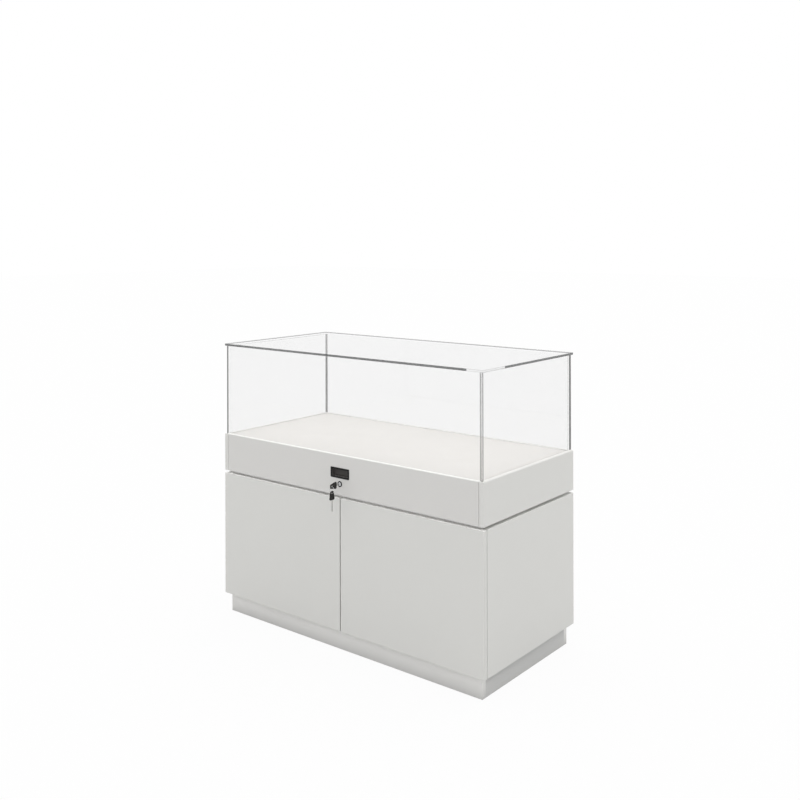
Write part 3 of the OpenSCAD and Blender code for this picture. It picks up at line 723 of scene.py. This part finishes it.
class PaintBoards(Operator):
    """Lacquer the boards and the plinth, with painted light and shade on the plinth, the deck rims, the door
    tops and the boards round the shadow gap
    """

    bl_idname = "cabinet.paint_boards"
    bl_label = "Paint boards"

    def execute(self, context):
        look = context.scene.cabinet_finishes
        coat(BOARDS, lacquer("white_lacquer", look.lacquer_colour, look))
        # The deck walls' top faces are painted lighter, as painted light.
        coat(DECK_WALLS, lacquer("deck_lacquer", look.lacquer_colour, look, top_colour=look.lit_deck_rim_colour))
        # The door tops, the gap boards and the deck base's edges are painted lighter to offset the shade in the
        # shadow gap, as painted light.
        coat(DOORS, lacquer("door_lacquer", look.lacquer_colour, look, top_colour=look.lit_gap_colour))
        coat(["display_floor"], lacquer("floor_lacquer", look.floor_colour, look))
        # Plinth: long boards painted lighter against the shade under the body and darker towards the floor, end
        # boards painted darker; painted light and shade.
        coat(PLINTH, lacquer("plinth_lacquer", look.lit_plinth_colour, look, foot_shade_height=look.plinth_foot_shade_height))
        coat(PLINTH_ENDS, lacquer("plinth_end_lacquer", look.shaded_plinth_end_colour, look))
        coat(["drawer_front"], lacquer("front_lacquer", look.front_colour, look))
        coat(GAP_BOARDS, lacquer("gap_lacquer", look.lit_gap_colour, look))
        coat(["deck_base"], lacquer("well_lacquer", look.lit_gap_colour, look, top_colour=look.lacquer_colour))
        return {"FINISHED"}


class PolishPanes(Operator):
    """Give the panes clear faces, and painted dark reflection and shade on their edges and joints"""

    bl_idname = "cabinet.polish_panes"
    bl_label = "Polish panes"

    def execute(self, context):
        look = context.scene.cabinet_finishes
        pane_painted_shades = {"X": side_pane_painted_shade, "Y": cross_pane_painted_shade, "Z": top_pane_painted_shade}
        for axis, names in PANES.items():
            coat(names, clear_pane("clear_glass_" + axis.lower(), axis, pane_painted_shades[axis], look))
        return {"FINISHED"}


class PlateSteel(Operator):
    """Plate the slides, hinges, pins, lock fittings, ball cages and key blades"""

    bl_idname = "cabinet.plate_steel"
    bl_label = "Plate steel"

    def execute(self, context):
        look = context.scene.cabinet_finishes
        pressed = HINGES + LOCK_STEEL + ("shelf_pins",)
        coat(SLIDES, brushed_steel("drawn_steel", look.steel_colour, "Y", look))
        coat(pressed, brushed_steel("pressed_steel", look.steel_colour, "Z", look))
        coat(BALL_CAGES + ("lock_plug", "key_ring"), polished_chrome("bright_chrome", look.chrome_colour))
        # Painted reflection: dark chrome on the lock's housing in place of a dark reflection.
        coat(["lock_housing"], polished_chrome("black_chrome", look.dark_reflection_chrome_colour))
        coat(KEY_BLADES, brushed_steel("key_nickel", look.nickel_colour, "Y", look))
        return {"FINISHED"}


class MouldPlastics(Operator):
    """Finish the pull, the key heads and the latches"""

    bl_idname = "cabinet.mould_plastics"
    bl_label = "Mould plastics"

    def execute(self, context):
        look = context.scene.cabinet_finishes
        coat(KEY_HEADS, moulded_plastic("black_plastic", look.black_colour, roughness=0.38, gloss=0.3))
        coat(["flush_pull"], pull_with_painted_light("pull_plastic", look))
        coat(LATCHES, moulded_plastic("grey_plastic", look.grey_colour, roughness=0.5, gloss=0.5))
        return {"FINISHED"}


class FitHingeScrews(Operator):
    """Add the screws of the hinge plates and cups"""

    bl_idname = "cabinet.fit_hinge_screws"
    bl_label = "Fit hinge screws"

    def execute(self, context):
        sizes = context.scene.cabinet_fittings
        steel = bpy.data.materials["pressed_steel"]
        plate_half, plate_setback, plate_thickness, plate_reach = 24 * MM, 35.2 * MM, 2.5 * MM, 16 * MM
        cup_inset, cup_reach = 28.5 * MM, 24 * MM
        low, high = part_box("hinge_arms_left")
        levels = (low.z + plate_half, high.z - plate_half)

        def pairs(x, y, reach, direction):
            """Places above and below the middle of each hinge."""
            return [(Vector((x, y, z + s * reach)), direction) for z in levels for s in (-1, 1)]

        plate_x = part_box("side_panel_left")[1].x + plate_thickness
        plates = pairs(plate_x, low.y + plate_setback, plate_reach, X_AXIS)
        cup_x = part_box("door_left")[0].x + cup_inset
        cups = pairs(cup_x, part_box("hinge_cups_left")[1].y, cup_reach, Y_AXIS)
        plate_radius, cup_radius = sizes.plate_screw / 2, sizes.cup_screw / 2
        for side, in_plates, in_cups in (("left", plates, cups), ("right", twins(plates), twins(cups))):
            screws("plate_screws_" + side, in_plates, plate_radius, sizes.screw_height, steel, "cabinet")
            screws("cup_screws_" + side, in_cups, cup_radius, sizes.screw_height, steel, side + "_door")
        return {"FINISHED"}


class FitSlideScrews(Operator):
    """Add the flush screws of the drawer slides"""

    bl_idname = "cabinet.fit_slide_screws"
    bl_label = "Fit slide screws"

    def execute(self, context):
        sizes = context.scene.cabinet_fittings
        steel = bpy.data.materials["drawn_steel"]
        first, pitch, count, web, sunk = 37 * MM, 96 * MM, 5, 1.2 * MM, 0.9 * MM
        for member, body, inward in (("outer", "cabinet", X_AXIS), ("inner", "drawer", -X_AXIS)):
            low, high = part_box("slide_" + member + "_left")
            level = (low.z + high.z) / 2
            face = low.x + web if member == "outer" else high.x - web
            places = [
                (Vector((face, low.y + first + pitch * i, level)) - inward * sunk, inward)
                for i in range(count)
            ]
            radius = sizes.slide_screw / 2
            screws("slide_screws_" + member, places + twins(places), radius, sunk, steel, body)
        return {"FINISHED"}


class SealPanes(Operator):
    """Run silicone beads along the panes' back corners and feet"""

    bl_idname = "cabinet.seal_panes"
    bl_label = "Seal panes"

    def execute(self, context):
        look = context.scene.cabinet_finishes
        sizes = context.scene.cabinet_fittings
        clear = silicone("clear_silicone", look.seal_colour, 0.7)
        white = silicone("white_silicone", look.seal_colour, 0.0)
        matched = silicone("matched_silicone", look.matched_seal_colour, 0.0)
        left_low, left_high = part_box("glass_left")
        front_low, front_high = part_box("glass_front")
        inner_x, outer_x = left_high.x, left_low.x
        back_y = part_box("glass_back")[0].y
        floor_z, top_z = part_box("display_floor")[1].z, left_high.z

        def corners(shape):
            for x, inward in ((inner_x, X_AXIS), (-inner_x, -X_AXIS)):
                bead(shape, (x, back_y, floor_z), (x, back_y, top_z), inward, -Y_AXIS, sizes.seal_size)

        def foot(shape, start, end, outward, size):
            bead(shape, (*start, floor_z), (*end, floor_z), outward, Z_AXIS, size)

        def hood_feet(shape):
            size = sizes.hood_foot_size
            foot(shape, (-outer_x, left_low.y), (-outer_x, left_high.y), X_AXIS, size)
            foot(shape, (inner_x, front_high.y), (inner_x, back_y), X_AXIS, size)
            foot(shape, (inner_x, back_y), (-inner_x, back_y), -Y_AXIS, size)

        def front_foot(shape):
            foot(shape, (front_low.x, front_low.y), (front_high.x, front_low.y), -Y_AXIS, sizes.foot_size)

        new_piece("hood_seals", corners, clear, "cabinet")
        new_piece("hood_foot_seals", hood_feet, matched, "cabinet")
        new_piece("front_foot_seal", front_foot, white, "drawer")
        return {"FINISHED"}


class TrimLock(Operator):
    """Round the lock's rim, coil the split ring and soften the key blades"""

    bl_idname = "cabinet.trim_lock"
    bl_label = "Trim lock"

    def execute(self, context):
        sizes = context.scene.cabinet_fittings
        low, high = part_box("lock_housing")
        centre = (low + high) / 2
        outer, inner = (high.x - low.x) / 2, 6.3 * MM
        height = sizes.bezel_height

        def rim(shape):
            steps, sides = 8, 64
            profile = [(inner, 0.0)]
            for i in range(steps + 1):
                t = math.pi * i / steps
                radius = inner + (outer - inner) * (0.5 - 0.5 * math.cos(t))
                profile.append((radius, height * (0.5 + 0.5 * math.sin(t))))
            profile.append((outer, 0.0))
            turned(shape, profile, sides, facing((centre.x, low.y, centre.z), -Y_AXIS))

        ring_low, ring_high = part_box("key_ring")
        ring_centre = (ring_low + ring_high) / 2
        turns = sizes.ring_turns
        wire = (ring_high.y - ring_low.y) / (turns * 2)
        ring_radius = (ring_high.x - ring_low.x) / 2 - wire

        def coil(shape):
            points, sides, first_angle = 48, 10, math.radians(200)
            centres = []
            for i in range(turns * points + 1):
                t = math.tau * i / points + first_angle
                along = (i / (turns * points) - 0.5) * 2 * wire * (turns - 1)
                offset = Vector((ring_radius * math.cos(t), along, ring_radius * math.sin(t)))
                centres.append(ring_centre + offset)
            tube(shape, centres, wire, sides)

        black_chrome, bright_chrome = (bpy.data.materials[name] for name in ("black_chrome", "bright_chrome"))
        # Painted reflection: the rim is dark chrome in place of a dark reflection.
        new_piece("lock_rim", rim, black_chrome, "drawer", 50.0)
        ring = new_piece("split_ring", coil, bright_chrome, "ring", 60.0)
        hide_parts("key_ring")
        soften(KEY_BLADES, BLADE_ROUNDING)
        return {"FINISHED"}


class SetStudio(Operator):
    """Set up the floor, the light and the camera"""

    bl_idname = "cabinet.set_studio"
    bl_label = "Set studio"

    def execute(self, context):
        scene, studio = context.scene, context.scene.cabinet_studio
        self.lay_floor(scene, studio)
        self.light_room(scene, studio)
        self.place_camera(scene, studio)
        scene.view_settings.view_transform = "Standard"
        return {"FINISHED"}

    def lay_floor(self, scene, studio):
        half = studio.floor_size / 2
        mesh = bpy.data.meshes.new("studio_floor")
        corners = [(-half, -half, 0), (half, -half, 0), (half, half, 0), (-half, half, 0)]
        mesh.from_pydata(corners, [], [(0, 1, 2, 3)])
        floor = bpy.data.objects.new("studio_floor", mesh)
        scene.collection.objects.link(floor)
        finish = new_finish("pale_floor")
        clouds = finish.noise(lumps=1.5, detail=3.0)
        darker, lighter = ((tone, tone, tone, 1.0) for tone in (0.5, 0.52))
        shade = finish.mix_colours(clouds, darker, lighter)
        matt = finish.surface(Base_Color=shade, Roughness=0.9)
        glow = finish.node("ShaderNodeEmission", values={"Color": WHITE, "Strength": 1.0})[0]
        seen = finish.node("ShaderNodeLightPath")["Is Camera Ray"] * studio.floor_glow
        mesh.materials.append(finish.finished(finish.mix_shaders(seen, matt, glow)))

    def light_room(self, scene, studio):
        room = Finish(bpy.data.worlds.new("studio_room"))
        scene.world = room.owner
        ahead = (-math.sin(studio.camera_turn), math.cos(studio.camera_turn), 0.0)
        direction = room.node("ShaderNodeTexCoord")["Generated"]
        dot = {"operation": "DOT_PRODUCT"}
        toward = room.node("ShaderNodeVectorMath", dot, {0: direction, 1: ahead})["Value"]
        backdrop = room.span(toward, *BACKDROP_SPAN, studio.room_near, studio.room_far)
        rise = room.span(room.axes(direction)["Z"], *CEILING_SPAN, 0.0, 1.0)
        level = choose(rise, studio.ceiling, backdrop)
        lit = room.node("ShaderNodeBackground", values={"Color": WHITE, "Strength": level})[0]
        seen = room.node("ShaderNodeBackground", values={"Color": WHITE, "Strength": 1.0})[0]
        by_eye = room.node("ShaderNodeLightPath")["Is Camera Ray"]
        room.node("ShaderNodeOutputWorld", values={"Surface": room.mix_shaders(by_eye, lit, seen)})
        for name, place, aim, (width, height), power in SOFTBOXES:
            light = bpy.data.lights.new(name, "AREA")
            light.shape, light.energy = "RECTANGLE", getattr(studio, power)
            light.size, light.size_y = width, height
            lamp = bpy.data.objects.new(name, light)
            lamp.location = place
            lamp.visible_glossy = False
            lamp.rotation_mode = "QUATERNION"
            lamp.rotation_quaternion = (Vector(aim) - Vector(place)).to_track_quat("-Z", "Y")
            scene.collection.objects.link(lamp)

    def place_camera(self, scene, studio):
        lens = bpy.data.cameras.new("photo_camera")
        lens.lens, lens.sensor_width = studio.camera_lens, 36.0
        lens.shift_x, lens.shift_y = studio.shift_x, studio.shift_y
        lens.clip_end = 200.0
        camera = bpy.data.objects.new("photo_camera", lens)
        camera.location = studio.camera_place
        camera.rotation_euler = (math.radians(90), studio.camera_roll, studio.camera_turn)
        scene.collection.objects.link(camera)
        scene.camera = camera


class CabinetPanel(Panel):
    """Sidebar panel with the cabinet's settings and steps"""

    bl_idname = "VIEW3D_PT_cabinet"
    bl_label = "Display cabinet"
    bl_space_type = "VIEW_3D"
    bl_region_type = "UI"
    bl_category = "Cabinet"

    def draw(self, context):
        for owner in SETTINGS:
            settings = getattr(context.scene, owner)
            box = self.layout.box()
            for name in settings.__annotations__:
                box.prop(settings, name)
        for step in STEPS:
            self.layout.operator(step.bl_idname)


SETTINGS = {
    "cabinet_finishes": CabinetFinishes,
    "cabinet_fittings": CabinetFittings,
    "cabinet_studio": CabinetStudio,
}
STEPS = (
    PaintBoards, PolishPanes, PlateSteel, MouldPlastics, FitHingeScrews, FitSlideScrews,
    SealPanes, TrimLock, SetStudio,
)
CLASSES = (*SETTINGS.values(), *STEPS, CabinetPanel)


def register():
    for kind in CLASSES:
        bpy.utils.register_class(kind)
    for name, kind in SETTINGS.items():
        setattr(bpy.types.Scene, name, PointerProperty(type=kind))


def unregister():
    for name in SETTINGS:
        delattr(bpy.types.Scene, name)
    for kind in reversed(CLASSES):
        bpy.utils.unregister_class(kind)


def main():
    register()
    for step in STEPS:
        group, name = step.bl_idname.split(".")
        getattr(getattr(bpy.ops, group), name)()


if __name__ == "__main__":
    main()
